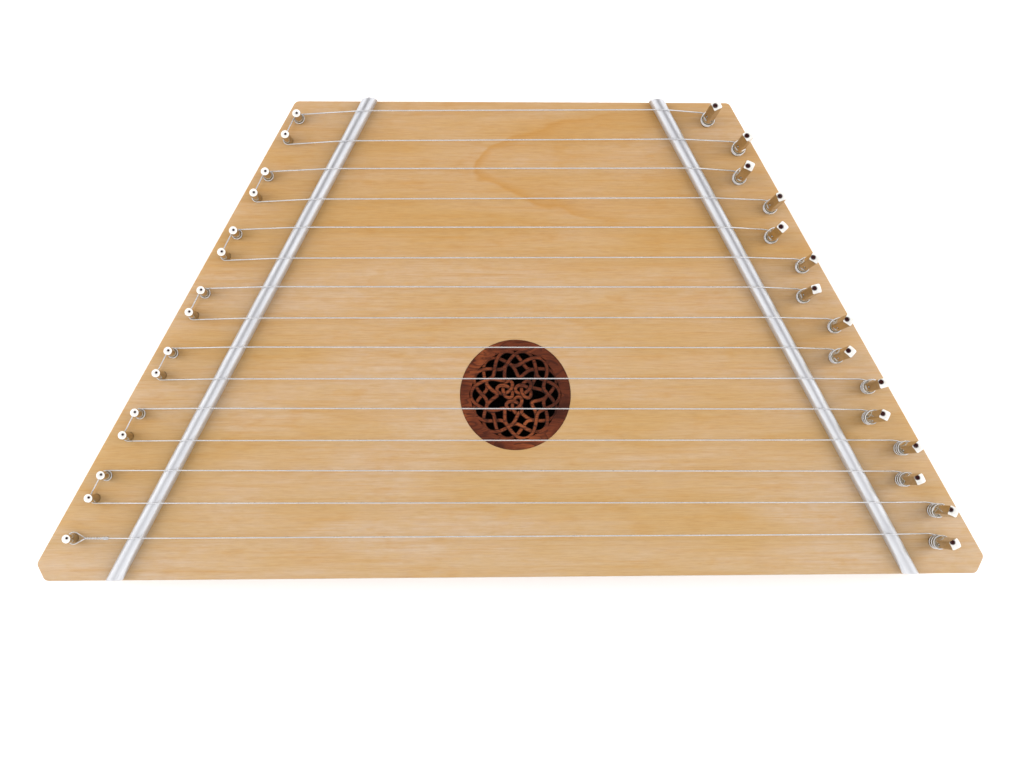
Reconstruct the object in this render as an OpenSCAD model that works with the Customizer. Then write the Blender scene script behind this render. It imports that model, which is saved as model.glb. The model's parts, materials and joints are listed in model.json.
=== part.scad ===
// Small trapezoid box zither (lap dulcimer) with fifteen single strings.
// Millimetres. The origin is the centre of the back face, +Z points up out of the soundboard,
// +X towards the tuning pins and +Y towards the short edge.

/* [Soundbox] */
// Length of the long front edge before its two corners are cut
front_w = 400; // [380:1:460]
// Length of the short back edge
back_w = 189; // [180:1:210]
// Distance from the front edge to the back edge
box_depth = 204; // [202:1:240]
// Thickness of the whole box
box_h = 34; // [30:1:45]
// Thickness of the soundboard
top_t = 3; // [2.5:0.1:4]
// Thickness of the back panel
back_t = 3; // [2.5:0.1:4]
// Depth of the cut across each front corner
corner_cut = 7; // [3:0.5:12]
// Radius that softens every corner of the outline
corner_r = 2.5; // [1:0.1:4]

/* [Frame] */
// Width of each pin block along X
block_w = 30; // [28:1:36]
// Thickness of the two rails
rail_t = 9; // [6:0.5:14]
// Width of each brace under the soundboard
brace_w = 8; // [5:0.5:12]
// Height of each brace
brace_h = 14; // [8:0.5:20]

/* [Rosette] */
// Diameter of the carved rosette
rosette_d = 46.6; // [42:0.1:50]
// Diameter of the sound hole under it
hole_d = 39; // [36:0.1:40]
// Thickness of the rosette
rosette_t = 1.8; // [1.2:0.1:2.2]
// Depth of the seat that it is glued into
seat_t = 1.6; // [1:0.1:2]
// Distance from the front edge to the rosette's centre
rosette_y = 75.8; // [70:0.1:80]

/* [Bridges] */
// Diameter of the two bridge rods
rod_d = 6; // [5:0.1:7]
// Depth of the grooves that the rods lie in
groove_t = 1; // [0.5:0.1:1.5]
// Distance along X from the uncut front corner to a rod's axis
rod_inset = 36; // [34:0.5:44]
// Sideways run of the rods and pin rows per unit of depth
row_slope = 0.5; // [0.48:0.01:0.52]

/* [Tuning pins] */
// Distance between neighbouring tuning pins along Y
string_pitch = 13; // [12:0.1:13]
// Distance from the front edge to the first tuning pin
first_tuner_y = 13.3; // [12:0.1:15]
// Diameter of a tuning pin
tuner_d = 5; // [4.8:0.1:5.2]
// Height of a tuning pin above the soundboard
tuner_h = 18.5; // [16:0.5:22]
// Length of a tuning pin below the soundboard's surface
tuner_sunk = 26.5; // [18:0.5:26.5]
// Width across the flats of the key square
square_w = 3.9; // [3.8:0.1:4.5]
// Length of the key square
square_h = 13; // [10:0.5:14]
// Distance from the uncut front corner to the row nearer the rod
inner_row_inset = 18; // [16:0.5:20]
// Distance from the uncut front corner to the row nearer the edge
outer_row_inset = 11.5; // [10:0.5:13]

/* [Hitch pins] */
// Diameter of a hitch pin
hitch_d = 3.5; // [3:0.1:4]
// Height of a hitch pin above the soundboard
hitch_h = 8.6; // [7:0.1:10]
// Length of a hitch pin below the soundboard's surface
hitch_sunk = 20; // [12:0.5:24]
// Distance from the uncut front corner to the row of hitch pins
hitch_inset = 10; // [8:0.5:12]
// Distance from the front edge to the single hitch pin
hitch_front_y = 17.4; // [16:0.1:18]
// Distance along Y from one pair of hitch pins to the next
hitch_pitch = 25.4; // [24.8:0.1:25.4]
// Distance along Y between the two hitch pins of a pair
hitch_gap = 9.2; // [8:0.1:10]

/* [Strings] */
// Diameter of the music wire
wire_d = 0.5; // [0.4:0.05:0.6]
// Height of a string over the soundboard where it meets its tuning pin
wind_z = 1.6; // [1.2:0.1:2]
// Rise of the coil for each turn
coil_pitch = 2; // [1.6:0.1:2.2]
// Height of a string over the soundboard where it meets its hitch pin
loop_z = 1.4; // [0.8:0.1:3]
// How far a string swings out before it meets its coil
string_set = 0.6; // [0.3:0.1:1]

/* [Hidden] */
STRINGS = 15;
FRAME_NODES = ["soundboard", "back_panel", "treble_rail", "bass_rail", "hitch_block", "pin_block",
    "brace_upper", "brace_lower", "rosette", "bridge_rod_left", "bridge_rod_right", "hitch_pins"];
WIRE_NODES = concat([for (k = [1:2:STRINGS - 2]) pair_name(k)], ["string_wire_15"]);
TUNER_NODES = [for (k = [1:STRINGS]) str("tuning_pin_", two(k))];
COIL_NODES = [for (k = [1:STRINGS]) str("string_coil_", two(k))];

front_y = -box_depth / 2;
board_z = box_h;
edge_slope = (front_w - back_w) / 2 / box_depth;
frame_h = box_h - top_t - back_t;
rod_z = board_z + rod_d / 2 - groove_t;
rod_end_gap = 0.3;
corner_steps = 4;
rod_angle = atan(row_slope);
pin_fit = 0.05;
hitch_fit = 0.02;
seat_fit = 0.1;
wire_r = wire_d / 2;
wire_gap = 0.05;
end_gap = 0.04;
knee_gap = 0.12;
knee_z = rod_z + rod_d / 2 + wire_r + knee_gap;
coil_r = tuner_d / 2 + wire_r + wire_gap;
loop_r = hitch_d / 2 + wire_r + wire_gap;
coil_turns = 2;
hole_rise = 2.2;
hole_z = wind_z + coil_turns * coil_pitch + hole_rise;
cross_hole_d = 1.2;
tuner_dome_r = 5.2;
hitch_dome_r = 2.6;
hook_len = 4;
hook_lift = 0.4;
strap_w = 1.4;
rim_overlap = 0.8;
inner_knots = 3;
outer_knots = 9;
knot_r = hole_d * 0.14;
inner_knot_at = hole_d * 0.133;
outer_knot_at = hole_d * 0.36;
row_angle = atan2(-1, -row_slope);
tail_start = 5;
tail_len = 10.5;
wrap_len = 3.2;
tail_r = 0.95 * wire_d;
wrap_r = 1.4 * wire_d;
tail_spread = 0.6 * wire_d;
root_sweep = 268;
root_gap = 2;
turn_mid = -140;
turn_spread = 26;
turn_step = 129;
turn_phase = 83;
brace_clear = 9;
bore_out = 1;
over = 1;
steel = [0.78, 0.78, 0.8];
alloy = [0.84, 0.85, 0.87];
top_wood = [0.87, 0.72, 0.53];
frame_wood = [0.8, 0.64, 0.45];
inner_wood = [0.84, 0.74, 0.58];
dark_wood = [0.4, 0.2, 0.12];

$fn = 48;

// ---------- names ----------

function two(k) = k < 10 ? str("0", k) : str(k);
function pair_name(k) = str("string_wire_", two(k), "_", two(k + 1));

// ---------- plan geometry ----------

function edge_x(y) = front_w / 2 - edge_slope * (y - front_y);
function row_x(inset, y) = front_w / 2 - inset - row_slope * (y - front_y);
function unit(v) = v / norm(v);
function mirrored(p) = [-p[0], p[1]];

// Points of an arc of radius r that rounds the corner at b between the sides towards a and c
function fillet(a, b, c, r, steps) =
    let (
        u = unit(a - b),
        v = unit(c - b),
        half = acos(u * v) / 2,
        centre = b + unit(u + v) * r / sin(half),
        first = b + u * r / tan(half) - centre,
        start = atan2(first[1], first[0])
    )
    [for (i = [0:steps]) let (t = start + (180 - 2 * half) * i / steps) centre + r * [cos(t), sin(t)]];

// The six corners of the outline, anticlockwise from the front left
CORNERS = [
    [-edge_x(front_y + corner_cut) + corner_cut * edge_slope, front_y],
    [edge_x(front_y + corner_cut) - corner_cut * edge_slope, front_y],
    [edge_x(front_y + corner_cut), front_y + corner_cut],
    [edge_x(-front_y), -front_y],
    [-edge_x(-front_y), -front_y],
    [-edge_x(front_y + corner_cut), front_y + corner_cut]
];

OUTLINE = [
    for (i = [0:5])
        each fillet(CORNERS[(i + 5) % 6], CORNERS[i], CORNERS[(i + 1) % 6], corner_r, corner_steps)
];

// Tuning pins count from the back edge, odd ones in the inner row
function tuner_at(k) =
    let (y = front_y + first_tuner_y + string_pitch * (STRINGS - k))
    [row_x(k % 2 == 1 ? inner_row_inset : outer_row_inset, y), y];

// Hitch pins stand in one row, in pairs, with a single one at the front
function hitch_y(k) =
    k % 2 == 1
        ? front_y + hitch_front_y + hitch_pitch * (STRINGS - k) / 2
        : hitch_y(k - 1) - hitch_gap;
function hitch_at(k) = [-row_x(hitch_inset, hitch_y(k)), hitch_y(k)];

// Side of its hitch pin that a string leaves from: 1 far, -1 near, 0 from a loop's centre
function hitch_side(k) = k == STRINGS ? 0 : (k % 2 == 1 ? 1 : -1);

function lifted(p, z) = [p[0], p[1], board_z + z];
function polar(c, r, a) = c + r * [cos(a), sin(a)];

// Direction of a string in plan: it touches both of its pins' circles
function heading(k) =
    let (d = tuner_at(k) - hitch_at(k))
    atan2(d[1], d[0]) + asin((coil_r + string_set - hitch_side(k) * loop_r) / norm(d));

// Where a string crosses a rod; side is -1 for the left rod and 1 for the right one
function crossing(k, side) =
    let (
        a = heading(k),
        p = hitch_at(k) + hitch_side(k) * loop_r * [-sin(a), cos(a)],
        run = (side * row_x(rod_inset, p[1]) - p[0]) / (cos(a) + side * row_slope * sin(a))
    )
    p + run * [cos(a), sin(a)];

// Where a string starts to bend towards its coil, and where it touches the coil
function hook_at(k) =
    let (a = heading(k))
    tuner_at(k) + (coil_r + string_set) * [-sin(a), cos(a)] - hook_len * [cos(a), sin(a)];
function wind_angle(k) =
    let (d = hook_at(k) - tuner_at(k))
    atan2(d[1], d[0]) - acos(coil_r / norm(d));

// Point on the straight line from a hitch pin to the first rod, d from the pin
function along(k, d) =
    let (
        start = hitch_at(k),
        cross = crossing(k, -1),
        t = d / norm(cross - start)
    )
    lifted(start + t * (cross - start), loop_z + t * (knee_z - board_z - loop_z));

// Where the wire crosses over from the upper to the lower hitch pin of a pair
link_angle = row_angle - 90 + 360;

// Turn of a tuning pin about its own axis: the cross holes face the front left, each a little differently
function pin_turn(k) = turn_mid + turn_spread * sin(turn_step * k + turn_phase);

// ---------- building blocks ----------

module plate(z, h) {
    translate([0, 0, z]) linear_extrude(h) polygon(OUTLINE);
}

// A straight length of wire from a to b, cut a hair short at both ends
module run(a, b, r = wire_r) {
    d = b - a;
    l = norm(d);
    translate(a)
        rotate([0, acos(d[2] / l), atan2(d[1], d[0])])
            translate([0, 0, end_gap]) cylinder(r = r, h = l - 2 * end_gap);
}

// Wire bent round a pin at centre c, from angle a through a sweep
module bend(c, z, ring_r, a, sweep) {
    translate(lifted(c, z)) rotate([0, 0, a])
        rotate_extrude(angle = sweep) translate([ring_r, 0]) circle(r = wire_r);
}

// A point on the inner face of the +X block's line, well before (-1) or behind (1) the box
function inner_face(end) = [edge_x(end * box_depth) - block_w, end * box_depth];

// The wedge of the box outside the inner face of the +X block
module block_side() {
    translate([0, 0, -over]) linear_extrude(box_h + 2 * over)
        polygon([inner_face(-1), [front_w, -box_depth], [front_w, box_depth], inner_face(1)]);
}

module frame_blank() {
    plate(back_t, frame_h);
}

// What lies between the two blocks, from y0 to y1
module between_blocks(y0, y1) {
    translate([0, 0, -over]) linear_extrude(box_h + 2 * over)
        intersection() {
            polygon([inner_face(-1), inner_face(1), mirrored(inner_face(1)), mirrored(inner_face(-1))]);
            translate([-front_w, y0]) square([2 * front_w, y1 - y0]);
        }
}

module tuner_bores() {
    for (k = [1:STRINGS])
        translate(lifted(tuner_at(k), -tuner_sunk - pin_fit))
            cylinder(d = tuner_d + 2 * pin_fit, h = tuner_sunk + bore_out);
}

module hitch_bores() {
    for (k = [1:STRINGS])
        translate(lifted(hitch_at(k), -hitch_sunk - hitch_fit))
            cylinder(d = hitch_d + 2 * hitch_fit, h = hitch_sunk + bore_out);
}

module rod_shape(side, d) {
    translate([side * row_x(rod_inset, 0), 0, rod_z]) rotate([0, 0, side * rod_angle])
        rotate([90, 0, 0]) cylinder(d = d, h = 2 * box_depth, center = true);
}

// The top of a pin that ends at height h, rounded to a dome of radius r
module domed(h, r) {
    intersection() {
        children();
        translate([0, 0, h - r]) sphere(r = r);
        translate([-r, -r, h - r / 2]) cube([2 * r, 2 * r, r]);
    }
}

// A ring of n round straps whose centres lie at radius at
module knots(n, at) {
    for (i = [1:n]) rotate(360 / n * i) translate([at, 0]) ring_2d(knot_r, strap_w);
}

module ring_2d(r, w) {
    difference() {
        circle(r = r + w / 2);
        circle(r = r - w / 2);
    }
}

// ---------- soundbox ----------

module soundboard() {
    color(top_wood)
    difference() {
        plate(box_h - top_t, top_t);
        translate([0, front_y + rosette_y, 0]) cylinder(d = hole_d, h = box_h + over);
        translate([0, front_y + rosette_y, box_h - seat_t])
            cylinder(d = rosette_d + 2 * seat_fit, h = seat_t + over);
        tuner_bores();
        hitch_bores();
        for (side = [-1, 1]) rod_shape(side, rod_d + 2 * hitch_fit);
    }
}

module back_panel() {
    color(frame_wood) plate(0, back_t);
}

module treble_rail() {
    color(frame_wood) intersection() {
        frame_blank();
        between_blocks(-front_y - rail_t, -front_y + over);
    }
}

module bass_rail() {
    color(frame_wood) intersection() {
        frame_blank();
        between_blocks(front_y - over, front_y + rail_t);
    }
}

module hitch_block() {
    color(inner_wood) difference() {
        intersection() {
            frame_blank();
            mirror([1, 0, 0]) block_side();
        }
        hitch_bores();
    }
}

module pin_block() {
    color(inner_wood) difference() {
        intersection() {
            frame_blank();
            block_side();
        }
        tuner_bores();
    }
}

module brace(y) {
    color(inner_wood) intersection() {
        translate([0, 0, box_h - top_t - brace_h]) linear_extrude(brace_h)
            square([2 * front_w, 2 * box_depth], center = true);
        between_blocks(y - brace_w / 2, y + brace_w / 2);
    }
}

module brace_upper() {
    brace(front_y + rosette_y + hole_d / 2 + brace_clear + brace_w / 2);
}

module brace_lower() {
    brace(front_y + rosette_y - hole_d / 2 - brace_clear - brace_w / 2);
}

module rosette() {
    rim_w = (rosette_d - hole_d) / 2 + rim_overlap;
    color(dark_wood)
    translate([0, front_y + rosette_y, box_h - seat_t]) linear_extrude(rosette_t) {
        ring_2d(rosette_d / 2 - rim_w / 2, rim_w);
        knots(inner_knots, inner_knot_at);
        knots(outer_knots, outer_knot_at);
    }
}

// ---------- bridges and hitch pins ----------

module bridge_rod(side) {
    color(alloy) intersection() {
        rod_shape(side, rod_d);
        translate([-front_w, front_y + rod_end_gap, 0])
            cube([2 * front_w, box_depth - 2 * rod_end_gap, 2 * box_h]);
    }
}

module bridge_rod_left() {
    bridge_rod(-1);
}

module bridge_rod_right() {
    bridge_rod(1);
}

module hitch_pins() {
    color(steel) for (k = [1:STRINGS]) translate(lifted(hitch_at(k), 0)) {
        translate([0, 0, -hitch_sunk])
            cylinder(d = hitch_d, h = hitch_sunk + hitch_h - hitch_dome_r / 2);
        domed(hitch_h, hitch_dome_r) cylinder(d = hitch_d, h = hitch_h);
    }
}

// ---------- strings ----------

// One string, from its first rod to its tuning pin and half way round it
module speaking_length(k, start) {
    left = lifted(crossing(k, -1), knee_z - board_z);
    right = lifted(crossing(k, 1), knee_z - board_z);
    hook = lifted(hook_at(k), wind_z + hook_lift);
    touch = lifted(polar(tuner_at(k), coil_r, wind_angle(k)), wind_z);
    run(start, left);
    run(left, right);
    run(right, hook);
    run(hook, touch);
    bend(tuner_at(k), wind_z, coil_r, wind_angle(k) - root_sweep - root_gap, root_sweep);
}

// Where a string of a pair leaves its hitch pin
function leave_at(k) =
    polar(hitch_at(k), loop_r, heading(k) + 90 * hitch_side(k));

// Two strings made of one wire that passes round a pair of hitch pins
module wire_pair(k) {
    upper = hitch_at(k);
    lower = hitch_at(k + 1);
    arrive = heading(k) + 90;
    depart = heading(k + 1) + 270;
    color(steel) {
        speaking_length(k, lifted(leave_at(k), loop_z));
        speaking_length(k + 1, lifted(leave_at(k + 1), loop_z));
        bend(upper, loop_z, loop_r, arrive, link_angle - arrive);
        run(lifted(polar(upper, loop_r, link_angle), loop_z), lifted(polar(lower, loop_r, link_angle), loop_z));
        bend(lower, loop_z, loop_r, link_angle, depart - link_angle);
        bend(upper, loop_z + wire_d + wire_gap, loop_r, 0, 360);
    }
}

// The last string has a wire of its own, with a twisted loop round its hitch pin
module wire_single(k) {
    a = heading(k);
    pin = hitch_at(k);
    opening = acos(loop_r / tail_start);
    twist = along(k, tail_start);
    wrap = along(k, tail_start + tail_len - wrap_len);
    start = along(k, tail_start + tail_len);
    color(steel) {
        bend(pin, loop_z, loop_r, a + opening, 360 - 2 * opening);
        for (side = [-1, 1])
            run(lifted(polar(pin, loop_r, a + side * opening), loop_z),
                twist + side * tail_spread * [-sin(a), cos(a), 0]);
        run(twist, wrap, tail_r);
        run(wrap, start, wrap_r);
        speaking_length(k, start);
    }
}

// ---------- tuning pins ----------

module tuning_pin(k) {
    color(steel) translate(lifted(tuner_at(k), 0)) rotate([0, 0, pin_turn(k)])
    difference() {
        union() {
            translate([0, 0, -tuner_sunk])
                cylinder(d = tuner_d, h = tuner_sunk + tuner_h - square_h);
            translate([0, 0, tuner_h - square_h])
                key_square(square_h - tuner_dome_r / 2);
            domed(tuner_h, tuner_dome_r) key_square(tuner_h);
        }
        translate([0, 0, hole_z]) rotate([0, 90, 0])
            cylinder(d = cross_hole_d, h = 2 * tuner_d, center = true);
    }
}

// A square bar with its corners turned down to the pin's diameter
module key_square(h) {
    intersection() {
        cylinder(d = tuner_d, h = h);
        translate([-square_w / 2, -square_w / 2, 0]) cube([square_w, square_w, h]);
    }
}

// The turns that wind up on a tuning pin, and the end of the wire through its cross hole
module string_coil(k) {
    pin = tuner_at(k);
    color(steel) {
        for (i = [1:coil_turns]) bend(pin, wind_z + i * coil_pitch, coil_r, 0, 360);
        run(lifted(polar(pin, -coil_r - wire_r, pin_turn(k)), hole_z),
            lifted(polar(pin, tuner_d / 2, pin_turn(k)), hole_z));
    }
}

// ---------- what is drawn ----------

soundboard();
back_panel();
treble_rail();
bass_rail();
hitch_block();
pin_block();
brace_upper();
brace_lower();
rosette();
bridge_rod_left();
bridge_rod_right();
hitch_pins();
for (k = [1:2:STRINGS - 2]) {
    wire_pair(k);
}
wire_single(STRINGS);  // string_wire_15
for (k = [1:STRINGS]) {
    tuning_pin(k);
    string_coil(k);
}
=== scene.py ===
"""Looks of a small trapezoid box zither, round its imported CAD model. Metres, +Z out of the soundboard."""

import json
import math

import bmesh
import bpy
from mathutils import Matrix, Vector


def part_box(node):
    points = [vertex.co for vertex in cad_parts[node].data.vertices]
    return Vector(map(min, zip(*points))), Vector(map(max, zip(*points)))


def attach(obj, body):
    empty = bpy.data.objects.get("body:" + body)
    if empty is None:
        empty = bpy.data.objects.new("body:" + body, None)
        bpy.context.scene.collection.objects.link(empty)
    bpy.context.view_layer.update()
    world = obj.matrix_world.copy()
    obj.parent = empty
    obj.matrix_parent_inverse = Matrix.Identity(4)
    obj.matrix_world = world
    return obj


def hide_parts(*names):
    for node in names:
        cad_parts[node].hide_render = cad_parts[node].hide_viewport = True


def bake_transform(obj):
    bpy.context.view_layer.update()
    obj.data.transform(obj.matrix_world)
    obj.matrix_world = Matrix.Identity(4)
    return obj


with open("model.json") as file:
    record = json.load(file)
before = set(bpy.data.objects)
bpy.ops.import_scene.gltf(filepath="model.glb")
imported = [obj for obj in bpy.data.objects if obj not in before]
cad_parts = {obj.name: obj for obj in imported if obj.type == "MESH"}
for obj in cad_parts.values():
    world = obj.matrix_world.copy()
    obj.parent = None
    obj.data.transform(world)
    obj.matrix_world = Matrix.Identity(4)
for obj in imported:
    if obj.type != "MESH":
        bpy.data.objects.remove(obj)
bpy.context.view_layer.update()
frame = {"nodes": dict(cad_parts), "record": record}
MM = 0.001
TURN = 2 * math.pi
STRINGS = 15
PAIRS = range(1, STRINGS, 2)

# ---------- sizes that the frame gives ----------


def centre(node):
    low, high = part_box(node)
    return (low + high) / 2


def two(k):
    return f"{k:02d}"


def tuner_body(k):
    return f"tuner_{two(k)}"


def hitch_places():
    """The hitch pins' axes, from the highest string's to the lowest's."""
    mesh = frame["nodes"]["hitch_pins"].data
    foot = min(v.co.z for v in mesh.vertices)
    spots = sorted((v.co.y, v.co.x) for v in mesh.vertices if v.co.z < foot + 0.1 * MM)
    groups = [[spots[0]]]
    for spot in spots[1:]:
        if spot[0] - groups[-1][-1][0] > MM:
            groups.append([])
        groups[-1].append(spot)
    middle = [[(min(p[i] for p in g) + max(p[i] for p in g)) / 2 for i in (1, 0)] for g in groups]
    return [Vector(p) for p in reversed(middle)]


BOARD_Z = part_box("soundboard")[1].z
BACK_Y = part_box("soundboard")[1].y
TOP_T = BOARD_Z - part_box("pin_block")[1].z
BACK_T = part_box("back_panel")[1].z
ROSETTE = centre("rosette")
ROSETTE_R = (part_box("rosette")[1].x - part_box("rosette")[0].x) / 2
ROSETTE_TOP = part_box("rosette")[1].z
SEAT_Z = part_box("rosette")[0].z
ROD_R = (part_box("bridge_rod_left")[1].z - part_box("bridge_rod_left")[0].z) / 2
ROD_Z = centre("bridge_rod_left").z
ROD_X = centre("bridge_rod_right").x
ROD_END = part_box("bridge_rod_right")[1].y
PLACES = {j["child"]: Vector(j["pos_m"][:2]) for j in frame["record"]["behaviour"]["joints"]}
TUNERS = [PLACES[tuner_body(k)] for k in range(1, STRINGS + 1)]
HITCHES = hitch_places()
ROW_SLOPE = (TUNERS[-1].x - TUNERS[0].x) / (TUNERS[0].y - TUNERS[-1].y)
ROD_LEAN = math.atan(ROW_SLOPE)
TUNER_R = (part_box("tuning_pin_01")[1].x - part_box("tuning_pin_01")[0].x) / 2
TUNER_FOOT, TUNER_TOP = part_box("tuning_pin_01")[0].z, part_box("tuning_pin_01")[1].z
HITCH_FOOT, HITCH_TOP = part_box("hitch_pins")[0].z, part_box("hitch_pins")[1].z
HITCH_R = HITCHES[-1].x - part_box("hitch_pins")[0].x

# ---------- sizes of the details ----------

WIRE_R = 0.25 * MM
WIRE_GAP = 0.05 * MM
WIND_Z = BOARD_Z + 1.6 * MM
LOOP_Z = BOARD_Z + 1.4 * MM
HOLE_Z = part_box("string_coil_01")[1].z - WIRE_R
COIL_R = TUNER_R + WIRE_R + WIRE_GAP
LOOP_R = HITCH_R + WIRE_R + WIRE_GAP
STRING_SET = 0.6 * MM
HOOK_LEN = 4 * MM
HOOK_LIFT = 0.4 * MM
LINK_ANGLE = math.pi - ROD_LEAN
EXTRA_TURN_RISE = 0.68 * MM
TAIL_START = 5 * MM
TAIL_END = 15.5 * MM
TAIL_PITCH = 2.3 * MM
WRAP_START = 12.3 * MM
HOLE_R = 19.5 * MM
SEAT_GAP = 0.1 * MM
CROSS_HOLE_R = 0.6 * MM
FLAT = 1.95 * MM
FLAT_START = TUNER_TOP - 13 * MM
FLAT_RUN_OUT = 1.2 * MM
TUNER_DOME_R = 5.2 * MM
HITCH_DOME_R = 2.6 * MM
PIN_EDGE = 0.12 * MM
BORE_GAP = 0.05 * MM
ROD_GAP = 0.02 * MM

# ---------- camera ----------


def make_camera():
    """Nearly overhead, looking down past the front half of the soundboard."""
    data = bpy.data.cameras.new("camera")
    data.sensor_width = 36
    data.lens = 32.7
    camera = bpy.data.objects.new("camera", data)
    bpy.context.collection.objects.link(camera)
    camera.location = (-0.0115, -0.0621, 0.4245)
    camera.rotation_euler = (0.1032, -0.0252, -0.0059)
    bpy.context.scene.camera = camera


# ---------- material graphs ----------


def tone(red, green, blue):
    """A colour of 0 to 255 steps as seen on a screen, in linear light."""
    def linear(c):
        c = c / 255
        return c / 12.92 if c <= 0.04045 else ((c + 0.055) / 1.055) ** 2.4
    return (linear(red), linear(green), linear(blue), 1)


class Finish:
    """One material's node tree, with short calls for the nodes that the finishes share."""

    def __init__(self, name, **constants):
        self.material = bpy.data.materials.new(name)
        self.material.use_nodes = True
        self.tree = self.material.node_tree
        self.shader = self.tree.nodes["Principled BSDF"]
        for socket, value in constants.items():
            self.shader.inputs[socket.replace("_", " ")].default_value = value

    def put(self, kind, inputs, **settings):
        node = self.tree.nodes.new(kind)
        for key, value in settings.items():
            setattr(node, key, value)
        for socket, value in inputs.items():
            if isinstance(value, bpy.types.NodeSocket):
                self.tree.links.new(value, node.inputs[socket])
            else:
                node.inputs[socket].default_value = value
        return node

    def place(self, size, turn=0, shift=(0, 0, 0)):
        """Object coordinates in steps of size along axes turned about Z."""
        source = self.tree.nodes.new("ShaderNodeTexCoord").outputs["Object"]
        step = {"Vector": source, "Scale": size, "Rotation": (0, 0, turn), "Location": shift}
        return self.put("ShaderNodeMapping", step, vector_type="TEXTURE").outputs["Vector"]

    def noise(self, vector, detail=3, roughness=0.55, distortion=0):
        inputs = {"Vector": vector, "Scale": 1, "Detail": detail}
        inputs |= {"Roughness": roughness, "Distortion": distortion}
        return self.put("ShaderNodeTexNoise", inputs).outputs["Fac"]

    def math(self, operation, a, b=0.0, c=0.0):
        return self.put("ShaderNodeMath", {0: a, 1: b, 2: c}, operation=operation).outputs[0]

    def ramp(self, factor, *stops):
        node = self.put("ShaderNodeValToRGB", {"Fac": factor})
        elements = node.color_ramp.elements
        while len(elements) < len(stops):
            elements.new(0.5)
        for element, (position, colour) in zip(elements, stops):
            element.position = position
            element.color = colour if len(colour) == 4 else (*colour, 1)
        return node.outputs["Color"]

    def level(self, factor, low, high, at=(0.3, 0.7)):
        """The factor squeezed between at, sent to the range low to high."""
        inputs = {"Value": factor, "From Min": at[0], "From Max": at[1], "To Min": low, "To Max": high}
        return self.put("ShaderNodeMapRange", inputs).outputs["Result"]

    def mix(self, factor, a, b, blend="MIX"):
        node = self.put("ShaderNodeMix", {}, data_type="RGBA", blend_type=blend)
        for index, value in ((0, factor), (6, a), (7, b)):
            if isinstance(value, bpy.types.NodeSocket):
                self.tree.links.new(value, node.inputs[index])
            else:
                node.inputs[index].default_value = value
        return node.outputs[2]

    def finish(self, colour=None, roughness=None, bump=None, bump_height=0.02 * MM):
        if colour is not None:
            self.tree.links.new(colour, self.shader.inputs["Base Color"])
        if roughness is not None:
            self.tree.links.new(roughness, self.shader.inputs["Roughness"])
        if bump is not None:
            inputs = {"Height": bump, "Strength": 1.0, "Distance": bump_height}
            normal = self.put("ShaderNodeBump", inputs).outputs["Normal"]
            self.tree.links.new(normal, self.shader.inputs["Normal"])
        return self.material


def plain_wood(name, pale, deep, figure, turn=0, shift=(0, 0, 0), arch=None, painted_sheen=None):
    """Sanded light wood: soft patches, growth lines, fibres along the grain and pores. The arch is the place
    of one clear growth figure, and painted_sheen is a painted sheen: a paler, greyer tone that the wood
    fades to towards the box's long edge."""
    f = Finish(name, Specular_IOR_Level=0.3)
    slow = f.noise(f.place((0.12, 0.03, 0.03), turn, shift), 3, 0.6)
    hills = f.noise(f.place((0.15, 0.03, 0.03), turn, shift), 1.5, 0.4, 0.3)
    ripple = f.noise(f.place((0.02, 0.0022, 0.0022), turn, shift), 3)
    contour = f.math("FRACT", f.math("MULTIPLY_ADD", hills, 9.0, f.math("MULTIPLY", ripple, 0.5)))
    black, dim, white = (0, 0, 0), (0.15, 0.15, 0.15), (1, 1, 1)
    line = f.ramp(contour, (0.0, black), (0.6, dim), (0.88, white), (1.0, black))
    patches = f.level(f.noise(f.place((0.09, 0.025, 0.025), turn, (0.03, 0.01, 0)), 2), 0.05, 1.0)
    fibre = f.noise(f.place((0.007, 0.0005, 0.0005), turn, shift), 4, 0.65)
    streak = f.noise(f.place((0.05, 0.0018, 0.0018), turn, shift), 4, 0.65)
    thread = f.noise(f.place((0.07, 0.0011, 0.0011), turn, (0.02, 0.05, 0)), 3, 0.6)
    mottle = f.noise(f.place((0.006, 0.003, 0.003), turn, shift), 3, 0.6)
    cloud = f.noise(f.place((0.014, 0.006, 0.006), turn, (0.07, 0.02, 0)), 3, 0.6)
    pore = f.noise(f.place((0.0016, 0.0003, 0.0003), turn, shift), 1)
    colour = f.mix(f.level(slow, 0, 1, (0.38, 0.62)), pale, deep)
    colour = f.mix(f.math("MULTIPLY", f.math("MULTIPLY", line, patches), 0.3), colour, figure)
    colour = f.mix(f.level(streak, 0, 0.52, (0.42, 0.72)), colour, figure)
    colour = f.mix(f.level(thread, 0, 0.4, (0.62, 0.7)), colour, figure)
    colour = f.mix(f.level(mottle, 0, 0.5, (0.4, 0.7)), colour, deep)
    colour = f.mix(f.level(cloud, 0, 0.45, (0.55, 0.78)), colour, figure)
    if arch:
        colour = f.mix(f.math("MULTIPLY", growth_arch(f, arch), 0.72), colour, figure)
    colour = f.mix(f.level(fibre, 0, 0.23, (0.4, 0.75)), colour, deep, "MULTIPLY")
    colour = f.mix(f.level(pore, 0, 0.3, (0.7, 0.8)), colour, figure)
    # painted sheen: the wood paler and greyer towards the front edge, standing in for the finish's whitish
    # reflection
    if painted_sheen:
        height = f.put("ShaderNodeSeparateXYZ", {"Vector": f.place((1, 1, 1))}).outputs["Y"]
        fade = f.level(height, 1.0, 0.0, (-BACK_Y, BACK_Y * 0.7))
        colour = f.mix(f.math("MULTIPLY", fade, 0.9), colour, painted_sheen, "MULTIPLY")
    rough = f.level(fibre, 0.42, 0.54)
    return f.finish(colour, rough, f.math("ADD", fibre, f.math("MULTIPLY", pore, -0.6)), 0.025 * MM)


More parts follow.
